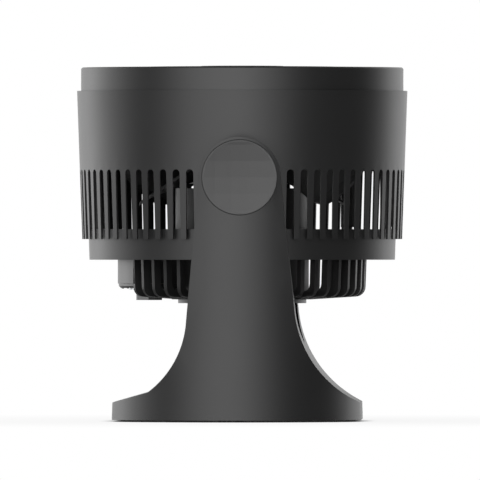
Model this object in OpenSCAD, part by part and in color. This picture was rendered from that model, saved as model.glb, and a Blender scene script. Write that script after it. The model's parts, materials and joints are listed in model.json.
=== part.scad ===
// Table air circulator: a round head that tilts between the two arms of a flared stand.
// Millimetres. X is the tilt direction, Y runs along the tilt axis, Z is up.
// The origin is on the floor under the tilt axis, and the head is modelled blowing straight up.

/* [Stand] */
// Height of the tilt axis above the floor
pivot_h = 164; // [160:0.5:170]
// Radius of the foot's rounded ends at the floor
foot_r = 84; // [82:0.5:88]
// Thickness of an arm at the tilt axis
arm_t = 21.85; // [20:0.05:24]
// How far the foot sits behind the tilt axis
foot_shift = 3; // [0:0.5:5]
// Inward lean of the stand's outside, in degrees
stand_draft = 1.8; // [1.2:0.1:2.2]
// Height of the foot's edge at the toe
foot_edge_h = 12.7; // [11:0.1:14]
// Slope of the toe's deck, in degrees
deck_slope = 16; // [14:0.5:18]
// Wall of the stand's shell
stand_wall = 2.8; // [2.2:0.1:3.2]
// Gap between the floor and the stand's rim
rim_gap = 1.2; // [0.8:0.1:1.6]
// Radius of the arms' round tops
arm_top_r = 27.3; // [26.8:0.1:28.5]
// Radius of the hollow on the front side
flare_r = 75.8; // [72:0.2:80]
// Height of that hollow's centre
flare_z = 81.8; // [79:0.2:85]
// Tilt axis to the nearest point of that hollow
flare_waist = 36.4; // [35:0.1:38]
// Radius of the hollow on the toe side
toe_flare_r = 64; // [61:0.2:67]
// Height of the toe side hollow's centre
toe_flare_z = 71.6; // [69:0.2:74]
// Tilt axis to the nearest point of the toe side hollow
toe_flare_waist = 35.7; // [34.5:0.1:37]
// Room between the swept head and the saddle
saddle_gap = 2; // [1.5:0.1:3]
// Thickness of the base plate
plate_t = 2.6; // [2.2:0.1:3.2]
// Radius of a rubber foot
pad_r = 6; // [5:0.1:7]

/* [Pivots] */
// Gap between the housing's widest ring and each arm
arm_gap = 2.5; // [2:0.1:3.5]
// Width of the arm's lip around the pivot cap
arm_lip = 1.9; // [1.5:0.1:2.2]
// Gap around the pivot cap
cap_gap = 0.4; // [0.3:0.05:0.6]
// Thickness of the pivot cap at its edge
cap_t = 3.5; // [3:0.1:4]
// Depth of the dish in the pivot cap
cap_dish = 0.9; // [0.5:0.1:1.2]
// How far the cap's face sits behind the arm's crest
cap_recess = 0.5; // [0.3:0.1:1]
// Radius of the pivot bolt's shank
bolt_r = 4; // [3.5:0.1:4.5]
// Radius of the pivot bolt's head
bolt_head_r = 7; // [6.5:0.1:7.5]
// Thickness of the friction washer
friction_t = 1.2; // [1:0.1:1.6]
// Radius of the boss that the friction washer bears on
pivot_boss_r = 15; // [14:0.1:16]

/* [Head shell] */
// Outside radius of the housing at its front
housing_r = 111.5; // [110:0.5:113]
// How much the housing narrows to its rear edge
housing_taper = 3.5; // [2:0.25:5]
// Tilt axis to the housing's front face
housing_top = 58.7; // [57:0.1:60]
// Tilt axis to the housing's rear edge
skirt_drop = 41.3; // [40:0.1:43]
// Wall of the housing in front of the slots
housing_wall = 2.4; // [2:0.1:2.8]
// Wall of the housing between the slots
comb_wall = 1.4; // [1.2:0.1:1.8]
// Places for slots around the housing
slot_places = 70; // [66:2:74]
// Slots left out on each side of a pivot
slots_left_out = 3; // [3:1:4]
// Width of a slot at its top
slot_w = 5.1; // [4.4:0.1:5.4]
// How much a slot widens down to the rear edge
slot_spread = 0.8; // [0:0.1:1.2]
// Height of the slots' tops above the tilt axis
slot_top = 5.5; // [4:0.1:6]

/* [Front grille] */
// Gap around the grille's band
band_gap = 0.3; // [0.2:0.05:0.5]
// How far the band stands out in front of the housing
band_out = 15.8; // [14:0.1:18]
// Wall of the band and the bell mouth
band_wall = 2.2; // [1.8:0.1:2.4]
// Width of the band's front edge
lip_w = 5.2; // [4.8:0.1:6.5]
// Radius of the centre cap
centre_cap_r = 28.5; // [27:0.1:30]
// How far the centre cap stands in front of the band
centre_cap_rise = 1.1; // [0.6:0.1:1.5]
// Radius of the ring between the two rows of vanes
mid_ring_r = 66; // [62:0.5:70]
// Vanes in the inner row
inner_vanes = 30; // [24:1:36]
// Vanes in the outer row
outer_vanes = 60; // [48:1:66]
// Thickness of a vane
vane_t = 1.8; // [1.5:0.1:2.2]
// Depth of the vanes
vane_depth = 8; // [6:0.2:9]
// Radius of a vane's curve
vane_curve_r = 46; // [42:1:60]

/* [Duct and fan] */
// Room between the duct's bore and the housing's outside
duct_room = 19.5; // [18.5:0.1:20]
// Wall of the duct
duct_wall = 1.8; // [1.5:0.1:2]
// Height of the duct's flange above the slots' tops
duct_set = 1.5; // [1.1:0.1:3]
// Gap between the blades' tips and the duct
tip_gap = 3; // [2:0.25:6]
// Radius of the fan's hub
hub_r = 36; // [34:0.25:38]
// Tilt axis to the hub's front face
hub_top = 26; // [25:0.1:28]
// Depth of the hub
hub_depth = 30; // [29:0.1:31]
// Number of blades
blades = 4; // [3:1:5]
// Angle that a blade spans at its tip, in degrees
tip_span = 60; // [54:1:64]
// Angle that a blade spans at the hub, in degrees
root_span = 52; // [48:1:58]
// How far the tip's leading edge is ahead of the root's, in degrees
tip_sweep = 10; // [6:1:14]
// Drop of the leading edge behind the tilt axis at the tip
lead_drop = 18.6; // [17:0.1:19.5]
// Height of the trailing edge in front of the tilt axis at the tip
trail_rise = 26.4; // [24:0.1:28]
// Greatest thickness of a blade
blade_t = 2.2; // [1.8:0.1:2.6]
// Thickness of a blade's edges
blade_edge_t = 0.9; // [0.7:0.1:1.2]
// Radius of the motor shaft
shaft_r = 4; // [3.5:0.1:4.5]

/* [Rear basket] */
// How far the rear ring lies inside the housing's outside
ring_set = 4.2; // [3:0.1:5]
// How much the rear ring narrows to its rear edge
ring_taper = 0.7; // [0.4:0.1:1.2]
// How deep the rear ring reaches into the housing
ring_lap = 6.7; // [5.5:0.1:8]
// How far the rear ring stands out behind the housing
ring_out = 13.9; // [12.5:0.1:15]
// Wall of the rear ring and its ledge
ring_wall = 2.2; // [1.8:0.1:2.6]
// Width of the ledge between the ring's and the basket's outsides
ledge_w = 19.1; // [18:0.1:20]
// Inward lean of the ribs, over their height
rib_lean = 0.7; // [0.4:0.1:1]
// Depth of the basket behind the ring
basket_depth = 24.9; // [24:0.1:26]
// Radius of the ribs' outer corner
rib_corner_r = 6.8; // [5.5:0.1:7.2]
// Slope of the ribs under the basket, in degrees
rib_slope = 3.65; // [3:0.05:4.2]
// Places for ribs around the basket
rib_places = 48; // [48:12:60]
// Thickness of a rib
rib_t = 2.5; // [2:0.1:2.8]
// Depth of a rib's upright part
rib_depth = 5.8; // [5:0.1:6.4]
// Half the angle of the control block, in degrees
block_half = 30; // [30:7.5:30]
// How far the control block's face sits inside the basket's corner
block_set = 5.8; // [5:0.1:6.6]

/* [Motor] */
// Outside radius of the motor cover
cover_r = 45; // [44.4:0.1:45.4]
// Wall of the motor cover
cover_wall = 1.8; // [1.5:0.1:2.1]
// Gap between the hub and the motor cover
cover_gap = 3; // [3:0.1:4]
// How far the rear cap's rim lies inside the motor cover's outside
rear_cap_set = 1.7; // [1.4:0.1:2.5]
// How far the rear cap stands out behind the basket's corner
rear_cap_out = 4.4; // [3.9:0.1:4.9]
// Half the width of the square stator
stator_half = 33; // [32:0.1:34]
// Height of the stator
stator_h = 18; // [17:0.1:19]
// Motor cover's front to the stator's front
stator_set = 20; // [19.5:0.1:20.5]
// Radius of the rotor
rotor_r = 18.6; // [18:0.1:19]
// Air gap between rotor and stator
air_gap = 0.5; // [0.4:0.05:0.8]
// Outside radius of a shaft bush
bush_r = 7; // [6.5:0.1:7.5]

/* [Controls] */
// Radius of the speed knob
knob_r = 8.7; // [8.3:0.1:9]
// How far the knob's centre lies inside the basket's outside
knob_set = 21.2; // [20:0.1:22]
// How far the knob stands out of the control block
knob_out = 8.1; // [7.2:0.1:8.7]
// Half the width of the knob's pointer at its tip
pointer_half = 2.7; // [2:0.1:3]
// Knob's centre to the tip of its pointer
pointer_out = 16.4; // [15.5:0.1:17]
// Angle that the pointer stands at when off, in degrees
pointer_angle = -81.5; // [-90:0.5:-70]
// Radius of the cord's hole in the gland
cord_hole_r = 3.3; // [3:0.1:3.6]
// Height of the control panel's rim
panel_rim = 3; // [2.6:0.1:3.4]

/* [Hidden] */
$fn = 96;
// Overrun of every cut
cut = 1;
// Clearance of parts that are fitted together and do not move
fit_gap = 0.1;
// Clearance between a turning shaft and its bush
run_gap = 0.04;
// Clearance between parts that pass each other
pass_gap = 0.3;
// Straight walls start this far inside a round they run into, so that they cross it cleanly
ease = 0.02;

// Radii and heights in the head, worked out from the housing
skirt_r = housing_r - housing_taper;
band_r = housing_r - housing_wall - band_gap;
band_top = housing_top + band_out;
lip_r = band_r - lip_w;
duct_r = housing_r - duct_room;
duct_bottom = slot_top + duct_set;
tip_r = duct_r - tip_gap;
rear_ring_r = skirt_r - ring_set;
rear_ring_end_r = rear_ring_r - ring_taper;
ring_front = skirt_drop - ring_lap;
ring_rear = skirt_drop + ring_out;
basket_r = rear_ring_end_r - ledge_w;
basket_rear = ring_rear + basket_depth;
block_rear = basket_rear - block_set;
rear_cap_r = cover_r - rear_cap_set;
rear_cap_face = basket_rear + rear_cap_out;
cover_front = hub_depth - hub_top + cover_gap;
stator_front = cover_front + stator_set;
knob_place = basket_r - knob_set;
knob_end = block_rear + knob_out;

// Stand, worked out
foot_x = -foot_shift;
arm_inner = housing_r + arm_gap;
arm_end = arm_inner + arm_t;
foot_reach = arm_end + pivot_h * tan(stand_draft) - foot_r;
stand_top = pivot_h + arm_top_r;
skirt_corner = norm([skirt_r, skirt_drop]);
ring_corner = norm([rear_ring_end_r, ring_rear]);
basket_corner = norm([basket_r - rib_lean, basket_rear]);
saddle_r = max(skirt_corner, ring_corner, basket_corner) + saddle_gap;
pad_edge = 3;
pad_share = 0.8;
pad_sink = 1.2;
post_r = 4.2;
screw_r = 1.9;
pilot_r = 1.6;
screw_head_r = 3.5;
screw_head_h = 2;
plate_gap = pass_gap;
plate_top = rim_gap + plate_t;
base_screw_l = 11;
base_post_share = [0.62, 1.36];

// Pivots, worked out
cap_r = arm_top_r - arm_lip - cap_gap;
cap_face = arm_end - cap_recess;
cap_seat = cap_face - cap_t;
seat_wall = 2.6;
pivot_floor = 8;
bolt_seat = arm_inner + pivot_floor;
bolt_head_t = 5;
well_room = 5;
well_r = bolt_head_r + well_room;
well_wall = 2.6;
spring_t = 1.3;
spring_plate = 0.7;
boss_face = arm_inner - friction_t - 2 * fit_gap;
washer_rim = 1;
boss_gap = 2.4;
boss_root = duct_r + duct_wall + boss_gap;
insert_r = 6.4;
insert_l = 10;
insert_set = 1;
insert_out = boss_root + insert_l + insert_set;
bolt_short = 2;
bolt_end = boss_root + bolt_short;
hex_r = 3;
hex_depth = 3;
spigot_wall = 1.5;
spigot_l = 4.6;

// Housing, worked out
housing_z0 = -skirt_drop;
seat_t = 2;
seat_in = 2.2;
grille_skirt = 5.8;
seat_z = housing_top - grille_skirt - pass_gap;
slot_pitch = 360 / slot_places;
wall_step = 1;
duct_post_r = 3.8;
duct_head_r = 2.9;
duct_posts_at = duct_r + duct_wall + duct_head_r + 2 * fit_gap;
duct_pad_h = 2;
post_web_t = 2;
post_wing = 5;
near_post = 2.5 * slot_pitch;
side_post = (floor(45 / slot_pitch) + 1) * slot_pitch;
far_post = (floor(90 / slot_pitch)) * slot_pitch;
post_angles = [
    90 - near_post, 90 + near_post, 90 - side_post, 90 - far_post,
    90 + far_post, 270 - near_post, 270 + near_post
];
ledge_top = -ring_rear + ring_wall;
post_foot = -ring_rear + screw_head_h + ring_wall;
sink_r = screw_head_r + pass_gap;
sink_wall = 1.5;
flange_t = 2;
flange_gap = 1.4;
duct_top = housing_top - pass_gap;
post_screw_l = 16;

// Grille, worked out
throat_r = duct_r + duct_wall + pass_gap;
throat_z = housing_top + pass_gap;
socket_depth = 2.6;
socket_z = housing_top - socket_depth;
band_bevel = 0.9;
cap_groove = 0.5;
centre_cap_t = 2.4;
mid_ring_w = 2.2;
ring_drop = 1;
hub_ring_r = centre_cap_r + cap_groove + mid_ring_w;
swirl_share = 0.42;
cap_peg_r = 2.4;
cap_peg_place = 18;
vane_grip = 0.9;
row_step = 0.5;

// Fan, worked out
lead_angle = -56.5;
blade_steps = 12;
blade_rows = 9;
hub_wall = 2.2;
hub_round = 7;
hub_boss_r = 8;
hub_ribs = 8;
hub_rib_t = 1.8;
blade_grip = 1;
root_rise = 3.5;
tip_round_share = 0.84;
tip_trim = 6;
lead_power = 1.2;
root_set = 2;
bend_share = 0.2;
shaft_step = 1;
shaft_thread_r = shaft_r - shaft_step;
nut_r = 9;
nut_h = 7;
nut_wing = 1.2;
nut_tip_share = 0.7;
shaft_out = 6.4;
shaft_front = hub_top + shaft_out;

// Basket, worked out
rib_pitch = 360 / rib_places;
ledge_in = basket_r - rib_depth;
rib_floor = 4;
centre_in = rear_cap_r + fit_gap;
centre_rim = 2.6;
centre_out = cover_r + centre_rim;
disc_t = 2.5;
disc_set = 4.1;
disc_top = -basket_rear + disc_set;
centre_bottom = -basket_rear - (basket_r - rib_corner_r - centre_out) * tan(rib_slope);
mid_hoop_set = 20;
mid_hoop_r = basket_r - mid_hoop_set;
hoop_w = 2.5;
hoop_h = 3;
block_wall = 2.2;
block_gap = 1.2;
block_in = centre_out + block_gap;
block_side = 2;
strut_turn = 4;
lug_turn = 7;
lug_sink = 1;
panel_top = -block_rear + panel_rim;
strut_top = panel_top + rib_floor;
strut_in = cover_r + pass_gap;
panel_bevel = 1.4;

// Motor, worked out
stator_back = stator_front + stator_h;
stator_round_share = 1.26;
stator_round = stator_half * stator_round_share;
bore_r = rotor_r + air_gap;
tie_hole_r = 2.1;
tie_screw_r = 1.95;
lug_r = 4.2;
bell_set = 1.5;
bell_r = stator_half - bell_set;
bell_wall = 1.6;
bell_flange_t = 2;
tie_r = bell_r + bell_wall + lug_r + fit_gap;
slot_back = 3.2;
slot_bottom_r = stator_half - slot_back;
coil_set = 0.6;
coil_out = slot_bottom_r - coil_set;
coil_step = 2.1;
coil_in = bore_r + coil_step;
coil_h = 5.3;
coil_gap = 0.4;
slot_count = 8;
slot_tooth = 4.6;
pole_t = 2;
bush_l = 9;
front_bell_h = 11;
bush_wall = 2.2;
rear_bell_h = 11;
thrust_t = 0.8;
thrust_r = 6.6;
rotor_step = 2;
shaft_tail = 1;
tie_head_h = 2.4;
tie_head_r = 3.6;
tie_out = 4.2;
tie_front = -stator_front + bell_flange_t + tie_out;
tie_nut_h = 3;
tie_nut_r = 3.9;
cover_hole_r = 15;

// Controls, worked out
panel_t = 2.2;
knob_gap = 0.3;
knob_start = -block_rear - knob_gap;
knob_skirt = 3;
knob_top_t = 2.2;
knob_wall = 1.6;
switch_w = 20;
switch_h = 11;
bushing_r = 4.4;
bushing_out = 2.4;
bushing_end = -block_rear - bushing_out;
switch_nut_r = 6.2;
switch_nut_h = 1.8;
stem_r = 3;
stem_cover = 3;
stem_top = -block_rear + panel_t + switch_h - stem_cover;
tick_r = 0.8;
tick_h = 0.4;
tick_gap = 1.5;
tick_ring = pointer_out + tick_gap;
knob_step = 45;
capacitor_box = [15, 14, 14];
terminal_box = [15, 12, 8];
pole_share = 0.3;
item_gap = 1;
tag_t = 1;
tag_h = 3;
tag_place = 6.5;
gland_place = 20;
gland_r = 7;
gland_reach = 6;
gland_l = 14;

// Colours
body_grey = "#4b4b4b";
inner_grey = "#2e2e2e";
steel = "#a9abad";

// Places things in the head's own frame, with the tilt axis at zero height
module on_pivot() {
    translate([0, 0, pivot_h]) children();
}

// Turns a thing drawn along Z so that it runs out along the near or the far half of the tilt axis
module along_axis(side) {
    on_pivot() rotate([-side * 90, 0, 0]) children();
}

module tube(outer, inner, z0, z1) {
    translate([0, 0, z0]) difference() {
        cylinder(h = z1 - z0, r = outer);
        translate([0, 0, -cut]) cylinder(h = z1 - z0 + 2 * cut, r = inner);
    }
}

module rod(r, z0, z1) {
    translate([0, 0, z0]) cylinder(h = z1 - z0, r = r);
}

module at_ties() {
    for (a = [45 : 90 : 315]) rotate([0, 0, a]) translate([tie_r, 0, 0]) children();
}

module at_posts() {
    for (a = post_angles) rotate([0, 0, a]) translate([duct_posts_at, 0, 0]) children();
}

// Plain screw pointing up, with its head's face at zero
module screw(r, head_r, head_h, length) {
    union() {
        cylinder(h = head_h, r = head_r);
        translate([0, 0, head_h - fit_gap]) cylinder(h = length - head_h + fit_gap, r = r);
    }
}

// STAND
// Unit vector square to the line that runs inside two rounds, from the upper one to the lower one
function flank_turn(side, r, x, z) =
    let (d = [side * x, z - pivot_h], lean = acos((arm_top_r + r) / norm(d)))
    atan2(d[1], d[0]) + side * lean;
function unit(a) = [cos(a), sin(a)];

flare_x = flare_waist + flare_r;
toe_flare_x = toe_flare_waist + toe_flare_r;
front_turn = flank_turn(1, flare_r, flare_x, flare_z);
toe_turn = flank_turn(-1, toe_flare_r, toe_flare_x, toe_flare_z);

// Side outline of the stand, seen along the tilt axis. Inset draws the same outline one wall inside.
module side_outline(inset) {
    crown = [0, pivot_h];
    front = [flare_x, flare_z];
    toe = [-toe_flare_x, toe_flare_z];
    top_r = arm_top_r - inset;
    left = -foot_r - foot_shift;
    edge = foot_edge_h - inset / cos(deck_slope);
    rise = tan(deck_slope);
    union() {
        translate(crown) circle(r = top_r);
        difference() {
            polygon([
                crown + (top_r - ease) * unit(front_turn),
                front - (flare_r + inset - ease) * unit(front_turn),
                front,
                [flare_x, 0],
                [-toe_flare_x, 0],
                toe,
                toe - (toe_flare_r + inset - ease) * unit(toe_turn),
                crown + (top_r - ease) * unit(toe_turn)
            ]);
            translate(front) circle(r = flare_r + inset);
            translate(toe) circle(r = toe_flare_r + inset);
        }
        polygon([
            [left - cut, 0],
            [left - cut, edge - cut * rise],
            [-toe_flare_waist, edge + (-toe_flare_waist - left) * rise],
            [-toe_flare_waist, 0]
        ]);
    }
}

// Foot plan with leaning walls, from the floor up
module foot_block(inset, height) {
    low = foot_r - inset;
    high = low - height * tan(stand_draft);
    union() {
        for (s = [-1, 1]) translate([foot_x, s * foot_reach, 0])
            cylinder(h = height, r1 = low, r2 = high);
        translate([foot_x, foot_reach, 0]) rotate([90, 0, 0]) linear_extrude(2 * foot_reach)
            polygon([[-low + ease, 0], [low - ease, 0], [high - ease, height], [-high + ease, height]]);
    }
}

// The saddle between the arms, with flat inner faces next to the pivots
module saddle(grow) {
    half = arm_inner + grow;
    intersection() {
        on_pivot() sphere(r = saddle_r + grow, $fn = 180);
        translate([-saddle_r * 2, -half, 0]) cube([saddle_r * 4, 2 * half, pivot_h + saddle_r * 2]);
    }
}

module stand_form(inset) {
    deep = foot_reach + foot_r;
    intersection() {
        foot_block(inset, stand_top + cut);
        translate([0, deep, 0]) rotate([90, 0, 0]) linear_extrude(2 * deep) side_outline(inset);
    }
}

module at_base_posts() {
    for (s = [-1, 1]) {
        for (x = [-1, 1])
            translate([foot_x + x * base_post_share[0] * foot_r, s * foot_reach * base_post_share[0], 0])
                children();
        translate([foot_x, s * foot_reach * base_post_share[1], 0]) children();
    }
}

module stand_shell() {
    color(body_grey) difference() {
        union() {
            difference() {
                stand_form(0);
                saddle(0);
                translate([0, 0, -cut]) cube([4 * foot_r, 4 * (foot_reach + foot_r), 2 * (rim_gap + cut)],
                    center = true);
                difference() {
                    stand_form(stand_wall);
                    saddle(stand_wall);
                    for (s = [-1, 1]) {
                        along_axis(s) rod(arm_top_r, cap_seat - seat_wall, arm_end);
                        along_axis(s) rod(well_r + well_wall, arm_inner, cap_seat);
                    }
                }
            }
            intersection() {
                difference() {
                    stand_form(stand_wall / 2);
                    saddle(stand_wall / 2);
                }
                at_base_posts() rod(post_r, plate_top, pivot_h);
            }
        }
        for (s = [-1, 1]) {
            along_axis(s) rod(cap_r + cap_gap, cap_seat, arm_end * 2);
            along_axis(s) rod(well_r, bolt_seat, cap_seat + cut);
            along_axis(s) rod(bolt_r + run_gap, arm_inner - cut, bolt_seat + cut);
        }
        at_base_posts() rod(pilot_r, 0, rim_gap + base_screw_l + cut);
    }
}

module base_plate() {
    color(inner_grey) difference() {
        intersection() {
            foot_block(stand_wall + plate_gap, plate_top);
            translate([-2 * foot_r, -2 * foot_r, rim_gap]) cube([4 * foot_r, 4 * foot_r, plate_t]);
        }
        at_base_posts() {
            rod(screw_r + fit_gap, 0, plate_top + cut);
            rod(screw_head_r + pass_gap, 0, rim_gap + screw_head_h);
        }
        at_feet() rod(pad_r + fit_gap, 0, rim_gap + pad_sink);
    }
}

module at_feet() {
    rim = foot_r - stand_wall - pad_edge - pad_r;
    for (s = [-1, 1]) {
        for (x = [-1, 1]) translate([foot_x + x * rim, s * foot_reach * pad_share, 0]) children();
        translate([foot_x, s * (foot_reach + rim), 0]) children();
    }
}

module rubber_feet() {
    color("#1d1d1d") at_feet() rod(pad_r, 0, rim_gap + pad_sink);
}

module base_screws() {
    color(steel) at_base_posts() translate([0, 0, rim_gap]) difference() {
        screw(pilot_r - fit_gap, screw_head_r, screw_head_h, base_screw_l);
        translate([0, 0, -cut]) cylinder(h = cut + screw_head_h / 2, r = screw_head_r / 3, $fn = 6);
    }
}

// PIVOTS
module pivot_cap(side) {
    dish_r = (cap_r * cap_r + cap_dish * cap_dish) / (2 * cap_dish);
    color(body_grey) along_axis(side) difference() {
        union() {
            rod(cap_r, cap_seat, cap_face);
            rod(well_r - fit_gap, cap_seat - spigot_l, cap_seat + cut);
        }
        translate([0, 0, cap_face + dish_r - cap_dish]) rotate([0, 90, 0]) sphere(r = dish_r, $fn = 200);
        rod(well_r - fit_gap - spigot_wall, cap_seat - spigot_l - cut, cap_seat);
    }
}

module pivot_bolt(side) {
    head = bolt_seat + spring_t + fit_gap;
    color(steel) along_axis(side) difference() {
        union() {
            rod(bolt_r, bolt_end, head + cut);
            rod(bolt_head_r, head, head + bolt_head_t);
        }
        translate([0, 0, head + bolt_head_t - hex_depth])
            cylinder(h = hex_depth + cut, r = hex_r, $fn = 6);
    }
}

module spring_washer(side) {
    color(steel) along_axis(side) translate([0, 0, bolt_seat]) rotate_extrude() polygon([
        [bolt_r + fit_gap, spring_t - spring_plate],
        [bolt_head_r + washer_rim, 0],
        [bolt_head_r + washer_rim, spring_plate],
        [bolt_r + fit_gap, spring_t]
    ]);
}

module friction_washer(side) {
    inner_face = boss_face + fit_gap / 2;
    color("#d8d4c8") along_axis(side)
        tube(pivot_boss_r - washer_rim, bolt_r + fit_gap, inner_face, inner_face + friction_t);
}

module pivot_insert(side) {
    color("#b08d4a") along_axis(side) tube(insert_r, bolt_r + ease, insert_out - insert_l, insert_out);
}

// HEAD SHELL
// Outside radius of the housing at a height above the tilt axis
function skin_r(z) = skirt_r + (housing_r - skirt_r) * (z + skirt_drop) / (housing_top + skirt_drop);

module housing_skin() {
    comb_top = slot_top + wall_step;
    rotate_extrude() polygon([
        [skin_r(housing_z0) - comb_wall, housing_z0],
        [skirt_r, housing_z0],
        [housing_r, housing_top],
        [skin_r(housing_top) - housing_wall, housing_top],
        [skin_r(seat_z) - housing_wall, seat_z],
        [skin_r(seat_z) - housing_wall - seat_in, seat_z],
        [skin_r(seat_z) - housing_wall - seat_in, seat_z - seat_t / 2],
        [skin_r(seat_z) - housing_wall, seat_z - seat_t - seat_in],
        [skin_r(comb_top) - housing_wall, comb_top],
        [skin_r(comb_top) - comb_wall, comb_top - wall_step / 2]
    ]);
}

// Upright slot with a round top, open and a little wider at the rear edge
module slot() {
    half = slot_w / 2;
    low_half = half + slot_spread / 2;
    round_z = slot_top - half;
    start = skirt_r - 3 * housing_wall;
    translate([start, 0, 0]) rotate([90, 0, 90]) linear_extrude(housing_r + cut - start) polygon(concat(
        [[low_half, housing_z0 - cut]],
        [for (a = [0 : 22.5 : 180]) [half * cos(a), round_z + half * sin(a)]],
        [[-low_half, housing_z0 - cut]]
    ));
}

function slot_kept(k) =
    let (quarter = slot_places / 4, from_pivot = abs((k + 0.5 + quarter) % (2 * quarter) - quarter))
    from_pivot > slots_left_out;

module front_housing() {
    web_in = duct_posts_at + duct_post_r / 2;
    web_low = -ring_front + flange_gap;
    web_high = duct_bottom - 2 * wall_step;
    color(body_grey) on_pivot() difference() {
        union() {
            difference() {
                housing_skin();
                for (k = [0 : slot_places - 1])
                    if (slot_kept(k)) rotate([0, 0, (k + 0.5) * slot_pitch + 90]) slot();
            }
            for (s = [-1, 1]) rotate([-s * 90, 0, 0]) rod(pivot_boss_r, boss_root, boss_face);
            at_posts() {
                rod(duct_post_r, post_foot, duct_bottom);
                translate([-post_web_t / 2, -post_wing, web_low])
                    cube([post_web_t, 2 * post_wing, web_high - web_low]);
                translate([-duct_posts_at, post_web_t / 2, 0]) rotate([90, 0, 0])
                    linear_extrude(post_web_t) polygon([
                        [web_in, web_low], [skin_r(web_low) - comb_wall / 2, web_low],
                        [skin_r(web_high) - comb_wall / 2, web_high], [web_in, web_high]
                    ]);
            }
        }
        for (s = [-1, 1]) rotate([-s * 90, 0, 0]) {
            rod(insert_r, boss_root - cut, insert_out);
            rod(bolt_r + pass_gap, insert_out - cut, arm_inner);
        }
        at_posts() rod(pilot_r, post_foot - cut, duct_bottom + cut);
    }
}

module front_grille() {
    band_in = band_r - band_wall;
    vane_bottom = band_top - vane_depth;
    color(body_grey) on_pivot() union() {
        rotate_extrude() polygon([
            [band_in, seat_z + fit_gap],
            [band_r, seat_z + fit_gap],
            [band_r, band_top - band_bevel],
            [band_r - band_bevel, band_top],
            [lip_r, band_top],
            [throat_r, throat_z],
            [throat_r, socket_z],
            [throat_r + band_wall, socket_z],
            [throat_r + band_wall, throat_z - band_wall / 2],
            [lip_r + band_wall, band_top - band_wall],
            [band_in, band_top - band_wall]
        ]);
        vane_row(mid_ring_r, lip_r, outer_vanes, vane_bottom, band_top - pass_gap);
        vane_row(hub_ring_r, mid_ring_r, inner_vanes, vane_bottom, band_top + row_step - pass_gap);
        tube(mid_ring_r + mid_ring_w / 2, mid_ring_r - mid_ring_w / 2, vane_bottom - ring_drop,
            band_top + row_step);
        difference() {
            union() {
                tube(hub_ring_r, centre_cap_r + cap_groove, vane_bottom - ring_drop,
                    band_top + centre_cap_rise - pass_gap);
                rod(hub_ring_r - mid_ring_w / 2, vane_bottom - ring_drop, vane_bottom + ring_drop);
            }
            for (a = [0, 120, 240]) rotate([0, 0, a]) translate([cap_peg_place, 0, 0])
                rod(cap_peg_r + fit_gap, vane_bottom - vane_depth, band_top);
        }
    }
}

// One row of curved vanes between two rounds
module vane_row(r0, r1, count, z0, z1) {
    swirl = swirl_share * (r1 - r0) / (r0 + r1) * 360 / PI;
    start = [r0 - vane_grip, 0];
    finish = (r1 + vane_grip) * unit(swirl);
    chord = finish - start;
    middle = (start + finish) / 2;
    side = [-chord[1], chord[0]] / norm(chord);
    centre = middle + side * sqrt(vane_curve_r * vane_curve_r - chord * chord / 4);
    a0 = atan2(start[1] - centre[1], start[0] - centre[0]);
    a1 = atan2(finish[1] - centre[1], finish[0] - centre[0]);
    for (k = [0 : count - 1]) rotate([0, 0, k * 360 / count]) translate([centre[0], centre[1], z0])
        rotate([0, 0, a0]) rotate_extrude(angle = a1 - a0)
            translate([vane_curve_r - vane_t / 2, 0]) square([vane_t, z1 - z0]);
}

module centre_cap() {
    top = band_top + centre_cap_rise;
    color(body_grey) on_pivot() union() {
        rotate_extrude() polygon([
            [0, top - centre_cap_t],
            [centre_cap_r, top - centre_cap_t],
            [centre_cap_r, top - band_bevel],
            [centre_cap_r - band_bevel, top],
            [0, top]
        ]);
        for (a = [0, 120, 240]) rotate([0, 0, a]) translate([cap_peg_place, 0, 0])
            rod(cap_peg_r, band_top - vane_depth - 2 * ring_drop, top - centre_cap_t + ring_drop);
    }
}

module air_duct() {
    flange_r = skin_r(duct_bottom) - housing_wall - flange_gap;
    color(inner_grey) on_pivot() difference() {
        union() {
            tube(duct_r + duct_wall, duct_r, duct_bottom, duct_top);
            tube(flange_r, duct_r, duct_bottom, duct_bottom + flange_t);
            at_posts() rod(duct_post_r, duct_bottom, duct_bottom + flange_t + duct_pad_h);
        }
        for (s = [-1, 1]) rotate([-s * 90, 0, 0])
            rod(pivot_boss_r + pass_gap, duct_r + duct_wall + cut, housing_r);
        at_posts() rod(screw_r + fit_gap, 0, duct_top);
        rod(duct_r, 0, duct_top + cut);
    }
}

module duct_screws() {
    top = duct_bottom + flange_t + duct_pad_h;
    color(steel) on_pivot() at_posts() translate([0, 0, top + screw_head_h]) mirror([0, 0, 1])
        screw(pilot_r - fit_gap, duct_head_r, screw_head_h, post_screw_l);
}

// REAR BASKET
// Outline of one rib, in radius and height. The whole rib lies within the basket's outer form.
module rib_outline() {
    foot = basket_r - rib_lean;
    lowest = -basket_rear;
    centre = [foot - rib_corner_r, lowest + rib_corner_r];
    inner_r = rib_corner_r - rib_floor / 2;
    inner_centre = [foot - rib_depth - inner_r, lowest + rib_floor + inner_r];
    drop = (centre[0] - centre_out + hoop_w / 2) * tan(rib_slope);
    polygon(concat(
        [[basket_r, -ring_rear + ring_wall / 2]],
        [for (a = [0 : -15 : -90]) centre + rib_corner_r * unit(a)],
        [[centre_out - hoop_w / 2, lowest - drop],
         [centre_out - hoop_w / 2, lowest - drop + rib_floor]],
        [[inner_centre[0], lowest + rib_floor]],
        [for (a = [-60 : 30 : 0]) inner_centre + inner_r * unit(a)],
        [[ledge_in, -ring_rear + ring_wall / 2]]
    ));
}

// Distance of a rib's place from the control block's middle, in degrees
function from_block(a) = abs((a % 360) - 180);

module sector(r_in, r_out, half, z0, z1) {
    translate([0, 0, z0]) rotate([0, 0, 180 - half]) rotate_extrude(angle = 2 * half)
        translate([r_in, 0]) square([r_out - r_in, z1 - z0]);
}

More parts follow.
